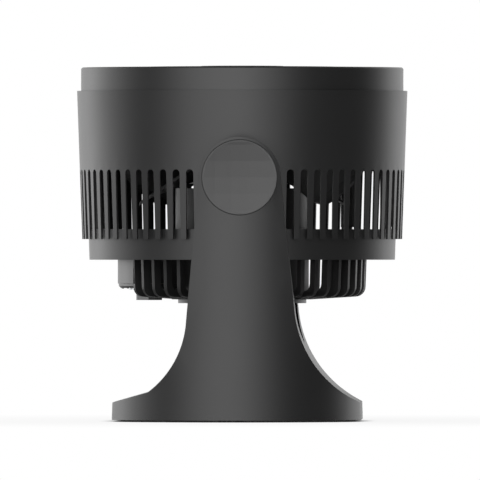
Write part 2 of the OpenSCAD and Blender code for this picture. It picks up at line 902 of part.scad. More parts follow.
module rear_housing() {
    color(body_grey) on_pivot() difference() {
        union() {
            rotate_extrude() polygon([
                [rear_ring_r - ring_wall, -ring_front],
                [rear_ring_r, -ring_front],
                [rear_ring_end_r, -ring_rear],
                [ledge_in, -ring_rear],
                [ledge_in, ledge_top],
                [rear_ring_end_r - ring_wall, ledge_top]
            ]);
            for (k = [0 : rib_places - 1])
                if (from_block(k * rib_pitch) > block_half - rib_pitch / 4)
                    rotate([0, 0, k * rib_pitch]) translate([0, rib_t / 2, 0]) rotate([90, 0, 0])
                        linear_extrude(rib_t) rib_outline();
            difference() {
                tube(mid_hoop_r + hoop_w / 2, mid_hoop_r - hoop_w / 2,
                    -basket_rear, -basket_rear + hoop_h);
                sector(mid_hoop_r - hoop_w, mid_hoop_r + hoop_w, block_half, -knob_end, -ring_rear);
            }
            tube(centre_out, centre_in, centre_bottom, disc_top);
            rod(centre_out, disc_top - disc_t, disc_top);
            difference() {
                sector(block_in, basket_r, block_half, panel_top, ledge_top - ease);
                sector(block_in + block_wall, basket_r - block_wall, block_half - block_side,
                    panel_top - cut, -ring_rear);
            }
            for (a = [-1, 0, 1]) rotate([0, 0, 180 + a * (block_half - strut_turn)])
                translate([strut_in, -rib_t / 2, 0]) {
                    translate([0, 0, disc_top - disc_t])
                        cube([block_in - fit_gap - strut_in, rib_t, strut_top - disc_top + disc_t]);
                    translate([0, 0, panel_top])
                        cube([block_in + block_wall / 2 - strut_in, rib_t, strut_top - panel_top]);
                }
            at_ties() rod(lug_r, disc_top - ease, rear_lug_z());
            block_lugs() rod(post_r, panel_top + fit_gap, panel_top + 3 * post_r);
            at_posts() rod(sink_r + sink_wall, -ring_rear + ring_wall / 2, post_foot);
        }
        at_ties() rod(tie_hole_r, -rear_cap_face, rear_lug_z() + cut);
        at_posts() {
            rod(screw_r + fit_gap, -ring_rear - cut, post_foot + cut);
            rod(sink_r, -ring_rear - cut, -ring_rear + screw_head_h);
        }
        translate([gland_place, 0, 0]) rod(gland_r + pass_gap, disc_top - disc_t - cut, disc_top + cut);
        block_lugs() rod(pilot_r, panel_top - cut, panel_top + 2 * post_r);
        rotate([0, 0, 180]) translate([block_in - cut, 0, ledge_top - 3 * disc_t])
            rotate([0, 90, 0]) cylinder(h = block_wall + 2 * cut, r = disc_t);
    }
}

function rear_lug_z() = -stator_back - bell_flange_t;

module block_lugs() {
    for (s = [-1, 1]) rotate([0, 0, 180 + s * (block_half - lug_turn)])
        translate([basket_r - block_wall - post_r + lug_sink, 0, 0]) children();
}

module housing_screws() {
    color(steel) on_pivot() at_posts() translate([0, 0, -ring_rear])
        screw(pilot_r - fit_gap, screw_head_r, screw_head_h, post_screw_l);
}

module rear_cap() {
    color(body_grey) on_pivot() difference() {
        union() {
            difference() {
                rod(rear_cap_r, -rear_cap_face, disc_top - disc_t - fit_gap);
                rod(rear_cap_r - block_wall, -rear_cap_face + block_wall, 0);
            }
            translate([gland_place, 0, 0]) rod(gland_r + ring_wall, -rear_cap_face + block_wall / 2,
                -rear_cap_face + 3 * block_wall / 2);
        }
        translate([gland_place, 0, 0]) rod(gland_r + fit_gap, -2 * rear_cap_face, 0);
    }
}

module cord_gland() {
    color("#222222") on_pivot() translate([gland_place, 0, 0]) difference() {
        union() {
            rod(gland_r, -rear_cap_face - gland_reach, -rear_cap_face - gland_reach + gland_l);
            rod(gland_r + ring_wall, -rear_cap_face - ring_wall, -rear_cap_face);
        }
        rod(cord_hole_r, -2 * rear_cap_face, 0);
    }
}

// MOTOR
module motor_cover() {
    color(inner_grey) on_pivot() difference() {
        rod(cover_r, disc_top + ease, -cover_front);
        rod(cover_r - cover_wall, disc_top - cut, -cover_front - cover_wall);
        rod(cover_hole_r, -cover_front - 2 * cover_wall, 0);
        rotate([0, 0, 180]) translate([cover_r - 2 * cover_wall, 0, ledge_top - 3 * disc_t])
            rotate([0, 90, 0]) cylinder(h = 3 * cover_wall, r = disc_t);
    }
}

// Pressed end bell with four lugs, drawn with its flange at zero and its nose up
module end_bell(height, bush_depth) {
    nose_r = bush_r + bush_wall;
    difference() {
        union() {
            rod(bell_r + bell_wall, 0, bell_flange_t);
            at_ties() rod(lug_r, 0, bell_flange_t);
            for (a = [45 : 90 : 315]) rotate([0, 0, a])
                translate([bell_r, -lug_r, 0]) cube([tie_r - bell_r, 2 * lug_r, bell_flange_t]);
            rotate_extrude() polygon([
                [0, bell_flange_t / 2],
                [bell_r + bell_wall - fit_gap, bell_flange_t / 2],
                [bell_r - bell_wall, height - bell_wall],
                [bell_r - 3 * bell_wall, height],
                [0, height]
            ]);
            rod(nose_r, height - bush_depth, height + bell_wall);
        }
        difference() {
            rotate_extrude() polygon([
                [0, -cut],
                [bell_r, -cut],
                [bell_r, bell_flange_t / 2],
                [bell_r - 2 * bell_wall, height - 2 * bell_wall],
                [bell_r - 4 * bell_wall, height - bell_wall],
                [0, height - bell_wall]
            ]);
            rod(nose_r, height - bush_depth, height + bell_wall);
        }
        rod(bush_r, height - bush_depth - cut, height + 2 * bell_wall);
        at_ties() rod(tie_hole_r, -cut, bell_flange_t + cut);
        for (a = [0 : 60 : 300]) rotate([0, 0, a]) translate([(nose_r + bell_r) / 2 - bell_wall, 0, 0])
            rod(2 * bell_wall, height - 2 * bell_wall - cut, height + cut);
    }
}

module motor_front_bell() {
    color(steel) on_pivot() translate([0, 0, -stator_front]) end_bell(front_bell_h, bush_l);
}

module motor_rear_bell() {
    color(steel) on_pivot() translate([0, 0, -stator_back]) mirror([0, 0, 1])
        end_bell(rear_bell_h, bush_l);
}

module stator_slots(widen, z0, z1) {
    inner = bore_r + pole_t - widen;
    for (k = [0 : slot_count - 1]) rotate([0, 0, (k + 0.5) * 360 / slot_count]) translate([0, 0, z0])
        linear_extrude(z1 - z0) polygon([
            [inner, -inner * sin(180 / slot_count) + slot_tooth / 2 - widen],
            [slot_bottom_r + widen, -slot_bottom_r * sin(180 / slot_count) + slot_tooth / 2 - widen],
            [slot_bottom_r + widen, slot_bottom_r * sin(180 / slot_count) - slot_tooth / 2 + widen],
            [inner, inner * sin(180 / slot_count) - slot_tooth / 2 + widen]
        ]);
}

module stator_core() {
    color("#6b6e72") on_pivot() difference() {
        intersection() {
            translate([-stator_half, -stator_half, -stator_back])
                cube([2 * stator_half, 2 * stator_half, stator_h]);
            rod(stator_round, -stator_back, -stator_front);
        }
        rod(bore_r, -stator_back - cut, -stator_front + cut);
        stator_slots(0, -stator_back - cut, -stator_front + cut);
        at_ties() rod(tie_hole_r, -stator_back - cut, -stator_front + cut);
    }
}

module stator_windings() {
    color("#b0622c") on_pivot() union() {
        tube(coil_out, coil_in, -stator_front + coil_gap, -stator_front + coil_gap + coil_h);
        tube(coil_out, coil_in, -stator_back - coil_gap - coil_h, -stator_back - coil_gap);
        intersection() {
            stator_slots(-coil_gap, -stator_back - 2 * coil_gap, -stator_front + 2 * coil_gap);
            rod(coil_out - fit_gap, -stator_back - coil_h, -stator_front + coil_h);
        }
    }
}

module front_bush() {
    top = -stator_front + front_bell_h + bell_wall;
    color("#a8763e") on_pivot() tube(bush_r - ease, shaft_r + run_gap, top - bush_l, top);
}

module rear_bush() {
    low = -stator_back - rear_bell_h - bell_wall;
    color("#a8763e") on_pivot() tube(bush_r - ease, shaft_r + run_gap, low, low + bush_l);
}

module motor_screws() {
    color(steel) on_pivot() at_ties() union() {
        rod(tie_screw_r, disc_top - disc_t - ease, tie_front);
        rod(tie_head_r, disc_top - disc_t - tie_head_h, disc_top - disc_t);
    }
}

module motor_nuts() {
    low = -stator_front + bell_flange_t + ease;
    color(steel) on_pivot() at_ties() translate([0, 0, low]) difference() {
        cylinder(h = tie_nut_h, r = tie_nut_r, $fn = 6);
        translate([0, 0, -cut]) cylinder(h = tie_nut_h + 2 * cut, r = tie_screw_r + ease);
    }
}

// ROTATING PARTS
module motor_shaft() {
    color(steel) on_pivot() union() {
        rod(shaft_r, shaft_low(), hub_top - hub_wall);
        rod(shaft_thread_r, hub_top - hub_wall - cut, shaft_front);
    }
}

function shaft_low() = -stator_back - rear_bell_h - bell_wall - shaft_tail;

module rotor_core() {
    color("#8a8d90") on_pivot() difference() {
        union() {
            rod(rotor_r, -stator_back, -stator_front);
            rod(rotor_r - rotor_step, -stator_back - thrust_t, -stator_front + thrust_t);
        }
        rod(shaft_r + ease, -rear_cap_face, 0);
    }
}

module thrust_washers() {
    front = -stator_front + front_bell_h + bell_wall - bush_l;
    rear = -stator_back - rear_bell_h - bell_wall + bush_l;
    color("#e0ddd2") on_pivot() union() {
        tube(thrust_r, shaft_r + ease, front - run_gap - thrust_t, front - run_gap);
        tube(thrust_r, shaft_r + ease, rear + run_gap, rear + run_gap + thrust_t);
    }
}

// Share of the way from hub to tip
function reach(r) = (r - hub_r) / (tip_r - hub_r);
// Blade edges round off past this share
function trim(s) = s > tip_round_share ? pow((s - tip_round_share) / (1 - tip_round_share), 2) : 0;
function lead_at(s) = lead_angle + tip_sweep * (1 - s) + tip_trim * trim(s);
function span_at(s) = root_span + (tip_span - root_span) * s - 2 * tip_trim * trim(s);
function low_at(s) = -(hub_depth - hub_top) + root_rise - (lead_drop - hub_depth + hub_top + root_rise)
    * pow(max(s, 0), lead_power);
function high_at(s) = hub_top - root_rise - root_set + (trail_rise - hub_top + root_rise + root_set) * s;
// Height along the chord, a little flatter at the leading edge
function bend(u) = (1 - bend_share) * u + bend_share * u * u;
function thick(u) = blade_edge_t + (blade_t - blade_edge_t) * sqrt(max(0, 4 * u * (1 - u)));

function blade_point(side, j, i) =
    let (
        r = hub_r - blade_grip + (tip_r - hub_r + blade_grip) * j / blade_rows,
        s = reach(r),
        u = i / blade_steps,
        a = lead_at(s) + span_at(s) * u,
        z = low_at(s) + (high_at(s) - low_at(s)) * bend(u) + side * thick(u) / 2
    )
    [r * cos(a), r * sin(a), z];

module blade() {
    cols = blade_steps + 1;
    half = cols * (blade_rows + 1);
    last = blade_rows * cols;
    points = [for (side = [1, -1]) for (j = [0 : blade_rows]) for (i = [0 : blade_steps])
        blade_point(side, j, i)];
    top = [for (j = [0 : blade_rows - 1]) for (i = [0 : blade_steps - 1])
        let (a = j * cols + i) each [[a, a + 1, a + 1 + cols], [a, a + 1 + cols, a + cols]]];
    under = [for (f = top) [half + f[0], half + f[2], half + f[1]]];
    ends = [for (i = [0 : blade_steps - 1]) let (t = last + i) each [
        [i + 1, i, half + i], [i + 1, half + i, half + i + 1],
        [t, t + 1, half + t + 1], [t, half + t + 1, half + t]
    ]];
    edges = [for (j = [0 : blade_rows - 1]) let (a = j * cols, b = a + blade_steps) each [
        [a, a + cols, half + a + cols], [a, half + a + cols, half + a],
        [b + cols, b, half + b], [b + cols, half + b, half + b + cols]
    ]];
    polyhedron(points = points, faces = concat(top, under, ends, edges));
}

module hub() {
    low = hub_top - hub_depth;
    difference() {
        union() {
            difference() {
                rotate_extrude() polygon(concat(
                    [[0, low], [hub_r, low]],
                    [for (a = [0 : 15 : 90])
                        [hub_r - hub_round, hub_top - hub_round] + hub_round * unit(a)],
                    [[0, hub_top]]
                ));
                rod(hub_r - hub_wall, low - cut, hub_top - hub_round);
                rod(hub_r - hub_round, low, hub_top - hub_wall);
            }
            rod(hub_boss_r, low + hub_wall / 2, hub_top - hub_wall / 2);
            for (k = [0 : hub_ribs - 1]) rotate([0, 0, k * 360 / hub_ribs])
                translate([hub_boss_r / 2, -hub_rib_t / 2, low + hub_round])
                    cube([hub_r - hub_wall / 2 - hub_boss_r / 2, hub_rib_t,
                          hub_depth - hub_round - hub_wall / 2]);
        }
        rod(shaft_r + ease, low - cut, hub_top - hub_wall);
        rod(shaft_thread_r + fit_gap, low, hub_top + cut);
    }
}

module fan_blade() {
    color("#3a3a3a") on_pivot() union() {
        hub();
        for (k = [0 : blades - 1]) rotate([0, 0, k * 360 / blades]) blade();
    }
}

module blade_nut() {
    color(inner_grey) on_pivot() translate([0, 0, hub_top]) difference() {
        union() {
            rotate_extrude() polygon([
                [0, 0], [nut_r, 0], [nut_r, nut_h / 2], [nut_r * nut_tip_share, nut_h], [0, nut_h]
            ]);
            for (a = [0, 90]) rotate([0, 0, a])
                translate([-nut_r - nut_wing, -hub_rib_t / 2, 0])
                    cube([2 * (nut_r + nut_wing), hub_rib_t, nut_h / 2]);
        }
        rod(shaft_thread_r + ease, -cut, shaft_front - hub_top + fit_gap);
    }
}

// CONTROLS
module control_panel() {
    low = -block_rear;
    outer = basket_r - rib_lean;
    color(body_grey) on_pivot() difference() {
        union() {
            difference() {
                rotate([0, 0, 180 - block_half]) rotate_extrude(angle = 2 * block_half) polygon([
                    [block_in, low],
                    [outer - panel_bevel, low],
                    [outer, low + panel_bevel],
                    [outer + fit_gap, panel_top - fit_gap],
                    [block_in, panel_top - fit_gap]
                ]);
                for (s = [-1, 1]) rotate([0, 0, 180 + s * block_half])
                    translate([block_in / 2, -rib_t / 2 - fit_gap, low - cut])
                        cube([basket_r, rib_t + 2 * fit_gap, panel_rim + 2 * cut]);
                sector(block_in + block_wall, outer - block_wall, block_half - 2 * block_side,
                    low + panel_t, 0);
            }
            block_lugs() rod(post_r - fit_gap, low + panel_t / 2, panel_top - fit_gap);
            translate([-knob_place, 0, 0]) for (k = [0 : 3]) rotate([0, 0, pointer_angle - k * knob_step])
                translate([tick_ring, 0, 0]) rod(tick_r, low - tick_h, low + cut);
        }
        translate([-knob_place, 0, 0]) rod(bushing_r + fit_gap, low - cut, 0);
        block_lugs() {
            rod(screw_r + fit_gap, low - cut, 0);
            rod(screw_head_r + fit_gap, low - cut, low + screw_head_h / 2);
        }
    }
}

module panel_screws() {
    color(steel) on_pivot() block_lugs() translate([0, 0, -block_rear - screw_head_h / 2])
        screw(pilot_r - fit_gap, screw_head_r, screw_head_h, 2 * post_r);
}

module rotary_switch() {
    floor_z = -block_rear + panel_t;
    color("#d9d4c4") on_pivot() translate([-knob_place, 0, 0]) difference() {
        union() {
            translate([-switch_w / 2, -switch_w / 2, floor_z]) cube([switch_w, switch_w, switch_h]);
            rod(bushing_r, bushing_end, floor_z + cut);
            for (a = [45 : 90 : 315]) rotate([0, 0, a])
                translate([tag_place, -tag_t, floor_z + switch_h - tag_t])
                    cube([tag_t, 2 * tag_t, tag_t + tag_h]);
        }
        rod(stem_r + run_gap, -rear_cap_face, stem_top + run_gap);
    }
}

module switch_nut() {
    color(steel) on_pivot() translate([-knob_place, 0, -block_rear - switch_nut_h]) difference() {
        cylinder(h = switch_nut_h, r = switch_nut_r, $fn = 6);
        translate([0, 0, -cut]) cylinder(h = switch_nut_h + 2 * cut, r = bushing_r + ease);
    }
}

module switch_stem() {
    color("#e8e4d8") on_pivot() translate([-knob_place, 0, 0])
        rod(stem_r, -knob_end + knob_top_t + fit_gap, stem_top);
}

// Teardrop plan of the knob, pointing along X
module knob_plan() {
    tip = norm([pointer_out, pointer_half]);
    turn = acos(knob_r / tip) + atan(pointer_half / pointer_out);
    union() {
        circle(r = knob_r);
        polygon([
            (knob_r - ease) * unit(-turn),
            [pointer_out, -pointer_half],
            [pointer_out, pointer_half],
            (knob_r - ease) * unit(turn)
        ]);
    }
}

module speed_knob() {
    color(inner_grey) on_pivot() translate([-knob_place, 0, -knob_end]) rotate([0, 0, pointer_angle])
        difference() {
            union() {
                linear_extrude(knob_end + knob_start) knob_plan();
                translate([0, 0, knob_end + knob_start - knob_skirt])
                    cylinder(h = knob_skirt, r = knob_r);
            }
            translate([0, 0, knob_end + knob_start - knob_skirt + ease])
                cylinder(h = knob_skirt + cut, r = knob_r - knob_wall);
            translate([0, 0, knob_top_t]) cylinder(h = knob_end, r = stem_r + ease);
        }
}

module run_capacitor() {
    floor_z = -block_rear + panel_t;
    color("#c9c6bd") on_pivot() translate([-knob_place, switch_w / 2 + item_gap, floor_z])
        translate([-capacitor_box[0] / 2, 0, 0]) cube(capacitor_box);
}

module terminal_block() {
    floor_z = -block_rear + panel_t;
    middle = switch_w / 2 + item_gap + terminal_box[1] / 2;
    color("#ece9df") on_pivot() translate([-knob_place, -middle, floor_z]) difference() {
        translate([-terminal_box[0] / 2, -terminal_box[1] / 2, 0]) cube(terminal_box);
        for (x = [-1, 0, 1]) translate([x * terminal_box[0] * pole_share, 0, terminal_box[2] / 2])
            cylinder(h = terminal_box[2], r = pilot_r);
    }
}

stand_shell();
base_plate();
rubber_feet();
base_screws();
pivot_cap(-1);  // pivot_cap_near
pivot_cap(1);  // pivot_cap_far
pivot_bolt(-1);  // pivot_bolt_near
pivot_bolt(1);  // pivot_bolt_far
spring_washer(-1);  // spring_washer_near
spring_washer(1);  // spring_washer_far
friction_washer(-1);  // friction_washer_near
friction_washer(1);  // friction_washer_far
pivot_insert(-1);  // pivot_insert_near
pivot_insert(1);  // pivot_insert_far
front_housing();
front_grille();
centre_cap();
air_duct();
duct_screws();
rear_housing();
housing_screws();
rear_cap();
cord_gland();
motor_cover();
motor_front_bell();
motor_rear_bell();
stator_core();
stator_windings();
front_bush();
rear_bush();
motor_screws();
motor_nuts();
control_panel();
panel_screws();
rotary_switch();
switch_nut();
run_capacitor();
terminal_block();
fan_blade();
blade_nut();
motor_shaft();
rotor_core();
thrust_washers();
speed_knob();
switch_stem();
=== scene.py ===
"""Looks of the table air circulator: finishes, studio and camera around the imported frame."""

import json
import math

import bpy
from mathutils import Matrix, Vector


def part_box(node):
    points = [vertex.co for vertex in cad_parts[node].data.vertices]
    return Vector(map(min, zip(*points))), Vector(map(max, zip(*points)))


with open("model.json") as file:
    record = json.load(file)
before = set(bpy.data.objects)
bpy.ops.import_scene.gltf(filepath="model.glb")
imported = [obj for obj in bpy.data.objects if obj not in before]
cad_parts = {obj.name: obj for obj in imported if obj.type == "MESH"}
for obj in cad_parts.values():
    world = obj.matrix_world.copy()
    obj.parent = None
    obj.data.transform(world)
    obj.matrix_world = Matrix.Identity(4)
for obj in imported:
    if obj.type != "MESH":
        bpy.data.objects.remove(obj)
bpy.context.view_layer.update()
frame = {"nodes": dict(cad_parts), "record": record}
nodes = frame["nodes"]
record = frame["record"]

MM = 0.001
ALONG_HEAD = (0, 0, 1)
ALONG_PIVOT = (0, 1, 0)

# round on the pieces' sharp edges
EDGE_ROUND = 0.2 * MM
EDGE_SAMPLES = 6

# sheets of the stator and rotor, turns of the winding
SHEET = 0.5 * MM
WIRE = 0.6 * MM
# share of a ring wave's own length that gives one turn a wire's width
RING_WAVE_SHARE = 0.32


# ---------- node helpers ----------

def put(tree, kind, settings=None, **values):
    """Adds one shader node. settings are its own fields, values its input sockets by name or number."""
    made = tree.nodes.new(kind)
    for field, value in (settings or {}).items():
        setattr(made, field, value)
    for socket, value in values.items():
        target = made.inputs[int(socket[1:])] if socket[0] == "_" else made.inputs[socket.replace("_", " ")]
        if isinstance(value, bpy.types.NodeSocket):
            tree.links.new(value, target)
        else:
            target.default_value = value
    return made


def colour_mix(tree, mask, first, second):
    """Blends two colours by a mask. Each is a fixed colour or an output socket."""
    blend = put(tree, "ShaderNodeMix", {"data_type": "RGBA"})
    tree.links.new(mask, blend.inputs["Factor"])
    ends = [socket for socket in blend.inputs if socket.type == "RGBA"]
    for socket, value in zip(ends, (first, second)):
        if isinstance(value, bpy.types.NodeSocket):
            tree.links.new(value, socket)
        else:
            socket.default_value = value
    return next(socket for socket in blend.outputs if socket.type == "RGBA")


def effect_group(name, inputs, outputs):
    """An empty shader group with named sockets. Returns the group, its input node and its output node."""
    group = bpy.data.node_groups.new(name, "ShaderNodeTree")
    for label, kind, start in inputs:
        socket = group.interface.new_socket(name=label, in_out="INPUT", socket_type=kind)
        socket.default_value = start
    for label in outputs:
        group.interface.new_socket(name=label, in_out="OUTPUT", socket_type="NodeSocketFloat")
    return group, group.nodes.new("NodeGroupInput"), group.nodes.new("NodeGroupOutput")


def place_effect(tree, group, **values):
    """Places a shared effect in a material, with its own values by input name."""
    made = tree.nodes.new("ShaderNodeGroup")
    made.node_tree = group
    for label, value in values.items():
        made.inputs[label.replace("_", " ")].default_value = value
    return made


# ---------- effects that several finishes share ----------

def mould_texture_group():
    """Fine pitted texture of a spark eroded mould, with a slow drift of tone and of gloss over it."""
    group, given, out = effect_group("Mould texture", [
        ("Pit Size", "NodeSocketFloat", 0.4 * MM),
        ("Drift Size", "NodeSocketFloat", 40 * MM),
    ], ["Height", "Tone", "Gloss"])
    place = put(group, "ShaderNodeTexCoord").outputs["Object"]
    pit_scale = put(group, "ShaderNodeMath", {"operation": "DIVIDE"}, _0=1.0, _1=given.outputs["Pit Size"])
    drift_scale = put(group, "ShaderNodeMath", {"operation": "DIVIDE"},
                      _0=1.0, _1=given.outputs["Drift Size"])
    pits = put(group, "ShaderNodeTexVoronoi", {"feature": "SMOOTH_F1"},
               Vector=place, Scale=pit_scale.outputs[0], Smoothness=0.6)
    grain = put(group, "ShaderNodeTexNoise",
                Vector=place, Scale=pit_scale.outputs[0], Detail=3.0, Roughness=0.6)
    height = put(group, "ShaderNodeMath", {"operation": "MULTIPLY_ADD"},
                 _0=pits.outputs["Distance"], _1=0.6, _2=grain.outputs["Fac"])
    drift = put(group, "ShaderNodeTexNoise",
                Vector=place, Scale=drift_scale.outputs[0], Detail=3.0, Roughness=0.5)
    speckle = put(group, "ShaderNodeMath", {"operation": "MULTIPLY_ADD"},
                  _0=grain.outputs["Fac"], _1=0.5, _2=drift.outputs["Fac"])
    group.links.new(height.outputs[0], out.inputs["Height"])
    group.links.new(speckle.outputs[0], out.inputs["Tone"])
    group.links.new(drift.outputs["Fac"], out.inputs["Gloss"])
    return group


def tool_lines_group():
    """Fine lines square to an axis, as a lathe or a stack of sheets leaves them."""
    group, given, out = effect_group("Tool lines", [
        ("Axis", "NodeSocketVector", ALONG_HEAD),
        ("Pitch", "NodeSocketFloat", 0.2 * MM),
    ], ["Height", "Line"])
    place = put(group, "ShaderNodeTexCoord").outputs["Object"]
    along = put(group, "ShaderNodeVectorMath", {"operation": "DOT_PRODUCT"},
                _0=place, _1=given.outputs["Axis"])
    steps = put(group, "ShaderNodeMath", {"operation": "DIVIDE"},
                _0=along.outputs["Value"], _1=given.outputs["Pitch"])
    turn = put(group, "ShaderNodeMath", {"operation": "MULTIPLY"}, _0=steps.outputs[0], _1=2 * math.pi)
    wave = put(group, "ShaderNodeMath", {"operation": "SINE"}, _0=turn.outputs[0])
    uneven = put(group, "ShaderNodeTexNoise", {"noise_dimensions": "1D"},
                 W=steps.outputs[0], Scale=0.37, Detail=4.0)
    height = put(group, "ShaderNodeMath", {"operation": "MULTIPLY_ADD"},
                 _0=wave.outputs[0], _1=0.3, _2=uneven.outputs["Fac"])
    line = put(group, "ShaderNodeMapRange", Value=wave.outputs[0], From_Min=0.55, From_Max=1.0)
    group.links.new(height.outputs[0], out.inputs["Height"])
    group.links.new(line.outputs["Result"], out.inputs["Line"])
    return group


def eased_edges_group():
    """The small round that a tool leaves along every sharp edge, as a normal that turns over the edge."""
    group, given, out = effect_group("Eased edges", [("Round", "NodeSocketFloat", EDGE_ROUND)], [])
    group.interface.new_socket(name="Normal", in_out="OUTPUT", socket_type="NodeSocketVector")
    ease = put(group, "ShaderNodeBevel", {"samples": EDGE_SAMPLES}, Radius=given.outputs["Round"])
    group.links.new(ease.outputs["Normal"], out.inputs["Normal"])
    return group


mould_texture = mould_texture_group()
eased_edges = eased_edges_group()
tool_lines = tool_lines_group()


# ---------- finishes ----------

def blank_finish(name):
    """A new material. Returns it, its node tree and its surface."""
    finish = bpy.data.materials.new(name)
    finish.use_nodes = True
    tree = finish.node_tree
    return finish, tree, tree.nodes["Principled BSDF"]


def tinted(tree, surface, mask, dark, light):
    """Base colour between two close tints, by a mask."""
    tree.links.new(colour_mix(tree, mask, (*dark, 1), (*light, 1)), surface.inputs["Base Color"])


def roughened(tree, surface, mask, low, high, spread=(0.3, 0.7)):
    """Roughness between low and high, by a mask that runs over spread."""
    span = put(tree, "ShaderNodeMapRange", Value=mask, From_Min=spread[0], From_Max=spread[1],
               To_Min=low, To_Max=high)
    tree.links.new(span.outputs["Result"], surface.inputs["Roughness"])


def raised(tree, surface, height, depth, strength):
    """Relief of a given depth over eased edges."""
    edges = place_effect(tree, eased_edges, Round=EDGE_ROUND)
    bump = put(tree, "ShaderNodeBump", Height=height, Strength=strength, Distance=depth,
               Normal=edges.outputs["Normal"])
    tree.links.new(bump.outputs["Normal"], surface.inputs["Normal"])


def moulded_plastic(name, tint, roughness, pit_size=0.4 * MM, pit_depth=0.03 * MM, strength=0.35, drift=0.04):
    """Moulded plastic with a pitted skin. tint is its mean colour, drift how far that wanders."""
    finish, tree, surface = blank_finish(name)
    skin = place_effect(tree, mould_texture, Pit_Size=pit_size)
    tone = put(tree, "ShaderNodeMapRange", Value=skin.outputs["Tone"], From_Min=0.5, From_Max=1.0)
    tinted(tree, surface, tone.outputs["Result"],
           [c * (1 - drift) for c in tint], [c * (1 + drift) for c in tint])
    roughened(tree, surface, skin.outputs["Gloss"], roughness - 0.01, roughness + 0.01)
    raised(tree, surface, skin.outputs["Height"], pit_depth, strength)
    return finish


def plated_steel(name, tint, roughness, axis, pitch=0.12 * MM):
    """Metal turned or drawn along an axis, under a cloudy plating."""
    finish, tree, surface = blank_finish(name)
    lines = place_effect(tree, tool_lines, Axis=axis, Pitch=pitch)
    skin = place_effect(tree, mould_texture, Pit_Size=0.8 * MM, Drift_Size=6 * MM)
    tinted(tree, surface, skin.outputs["Gloss"], [c * 0.85 for c in tint], tint)
    roughened(tree, surface, skin.outputs["Gloss"], roughness - 0.06, roughness + 0.08)
    raised(tree, surface, lines.outputs["Height"], 0.01 * MM, 0.3)
    surface.inputs["Metallic"].default_value = 1.0
    return finish


def stacked_sheet(name):
    """Edges of stamped steel sheets, half a millimetre each, under a thin dark varnish."""
    finish, tree, surface = blank_finish(name)
    lines = place_effect(tree, tool_lines, Axis=ALONG_HEAD, Pitch=SHEET)
    tinted(tree, surface, lines.outputs["Line"], (0.2, 0.2, 0.21), (0.05, 0.048, 0.045))
    roughened(tree, surface, lines.outputs["Line"], 0.38, 0.6, (0.0, 1.0))
    raised(tree, surface, lines.outputs["Height"], 0.06 * MM, 0.5)
    surface.inputs["Metallic"].default_value = 0.9
    return finish


def enamelled_wire(name):
    """Copper wire laid in turns round the head's axis."""
    finish, tree, surface = blank_finish(name)
    place = put(tree, "ShaderNodeTexCoord").outputs["Object"]
    turns = put(tree, "ShaderNodeTexWave", {"wave_type": "RINGS", "rings_direction": "Z"},
                Vector=place, Scale=RING_WAVE_SHARE / WIRE, Distortion=0.6, Detail=1.0)
    layers = place_effect(tree, tool_lines, Axis=ALONG_HEAD, Pitch=WIRE)
    both = put(tree, "ShaderNodeMath", {"operation": "ADD"},
               _0=turns.outputs["Fac"], _1=layers.outputs["Height"])
    # the copper is darker between the turns and brighter on each turn's crown: painted shade of the round
    # wire
    tinted(tree, surface, turns.outputs["Fac"], (0.30, 0.09, 0.03), (0.62, 0.24, 0.09))
    roughened(tree, surface, turns.outputs["Fac"], 0.42, 0.25, (0.0, 1.0))
    raised(tree, surface, both.outputs[0], 0.12 * MM, 0.8)
    surface.inputs["Metallic"].default_value = 0.9
    surface.inputs["Coat Weight"].default_value = 0.4
    return finish


CHARCOAL = (0.016, 0.016, 0.0162)
# painted shade: the shell's charcoal made a little darker for the stand
SHADED_STAND_CHARCOAL = (0.0145, 0.0145, 0.0147)
BLACK = (0.012, 0.012, 0.0122)
KNOB_BLACK = (0.017, 0.017, 0.0172)
RUBBER = (0.013, 0.013, 0.013)
NYLON = (0.62, 0.58, 0.48)
CASE_GREY = (0.42, 0.42, 0.41)
ZINC = (0.58, 0.59, 0.60)
BRONZE = (0.50, 0.32, 0.15)

finishes = {
    "shell": moulded_plastic("charcoal_shell", CHARCOAL, 0.36),
    "inner_plastic": moulded_plastic("black_inner_plastic", BLACK, 0.4, 0.3 * MM, 0.02 * MM),
    "knob_plastic": moulded_plastic("satin_knob_plastic", KNOB_BLACK, 0.38, 0.25 * MM, 0.015 * MM),
    "rubber": moulded_plastic("foot_rubber", RUBBER, 0.75, 0.5 * MM, 0.04 * MM, 0.5),
    "pale_plastic": moulded_plastic("natural_nylon", NYLON, 0.42, 0.6 * MM, 0.02 * MM, 0.3, 0.05),
    "steel": plated_steel("zinc_plated_steel", ZINC, 0.34, ALONG_HEAD),
    "bronze": plated_steel("sintered_bronze", BRONZE, 0.45, ALONG_HEAD, 0.3 * MM),
    "laminations": stacked_sheet("stamped_sheet_stack"),
    "copper": enamelled_wire("enamelled_copper_wire"),
}
pivot_steel = plated_steel("turned_pivot_steel", ZINC, 0.3, ALONG_PIVOT)
grey_film = moulded_plastic("grey_capacitor_case", CASE_GREY, 0.35, 0.6 * MM, 0.01 * MM, 0.2, 0.04)
# the stand's finish is rougher than the shell's, and its darker tint is painted shade
shaded_stand_plastic = moulded_plastic("charcoal_stand_painted_shade", SHADED_STAND_CHARCOAL, 0.43)
own_finish = {
    "stand_shell": shaded_stand_plastic,
    "pivot_bolt_near": pivot_steel, "pivot_bolt_far": pivot_steel,
    "spring_washer_near": pivot_steel, "spring_washer_far": pivot_steel,
    "run_capacitor": grey_film,
}

slot_of = {part["node"]: part["material_slot"] for part in record["subparts"]}
for name, piece in nodes.items():
    piece.data.materials.clear()
    piece.data.materials.append(own_finish.get(name) or finishes[slot_of[name]])


# ---------- studio ----------

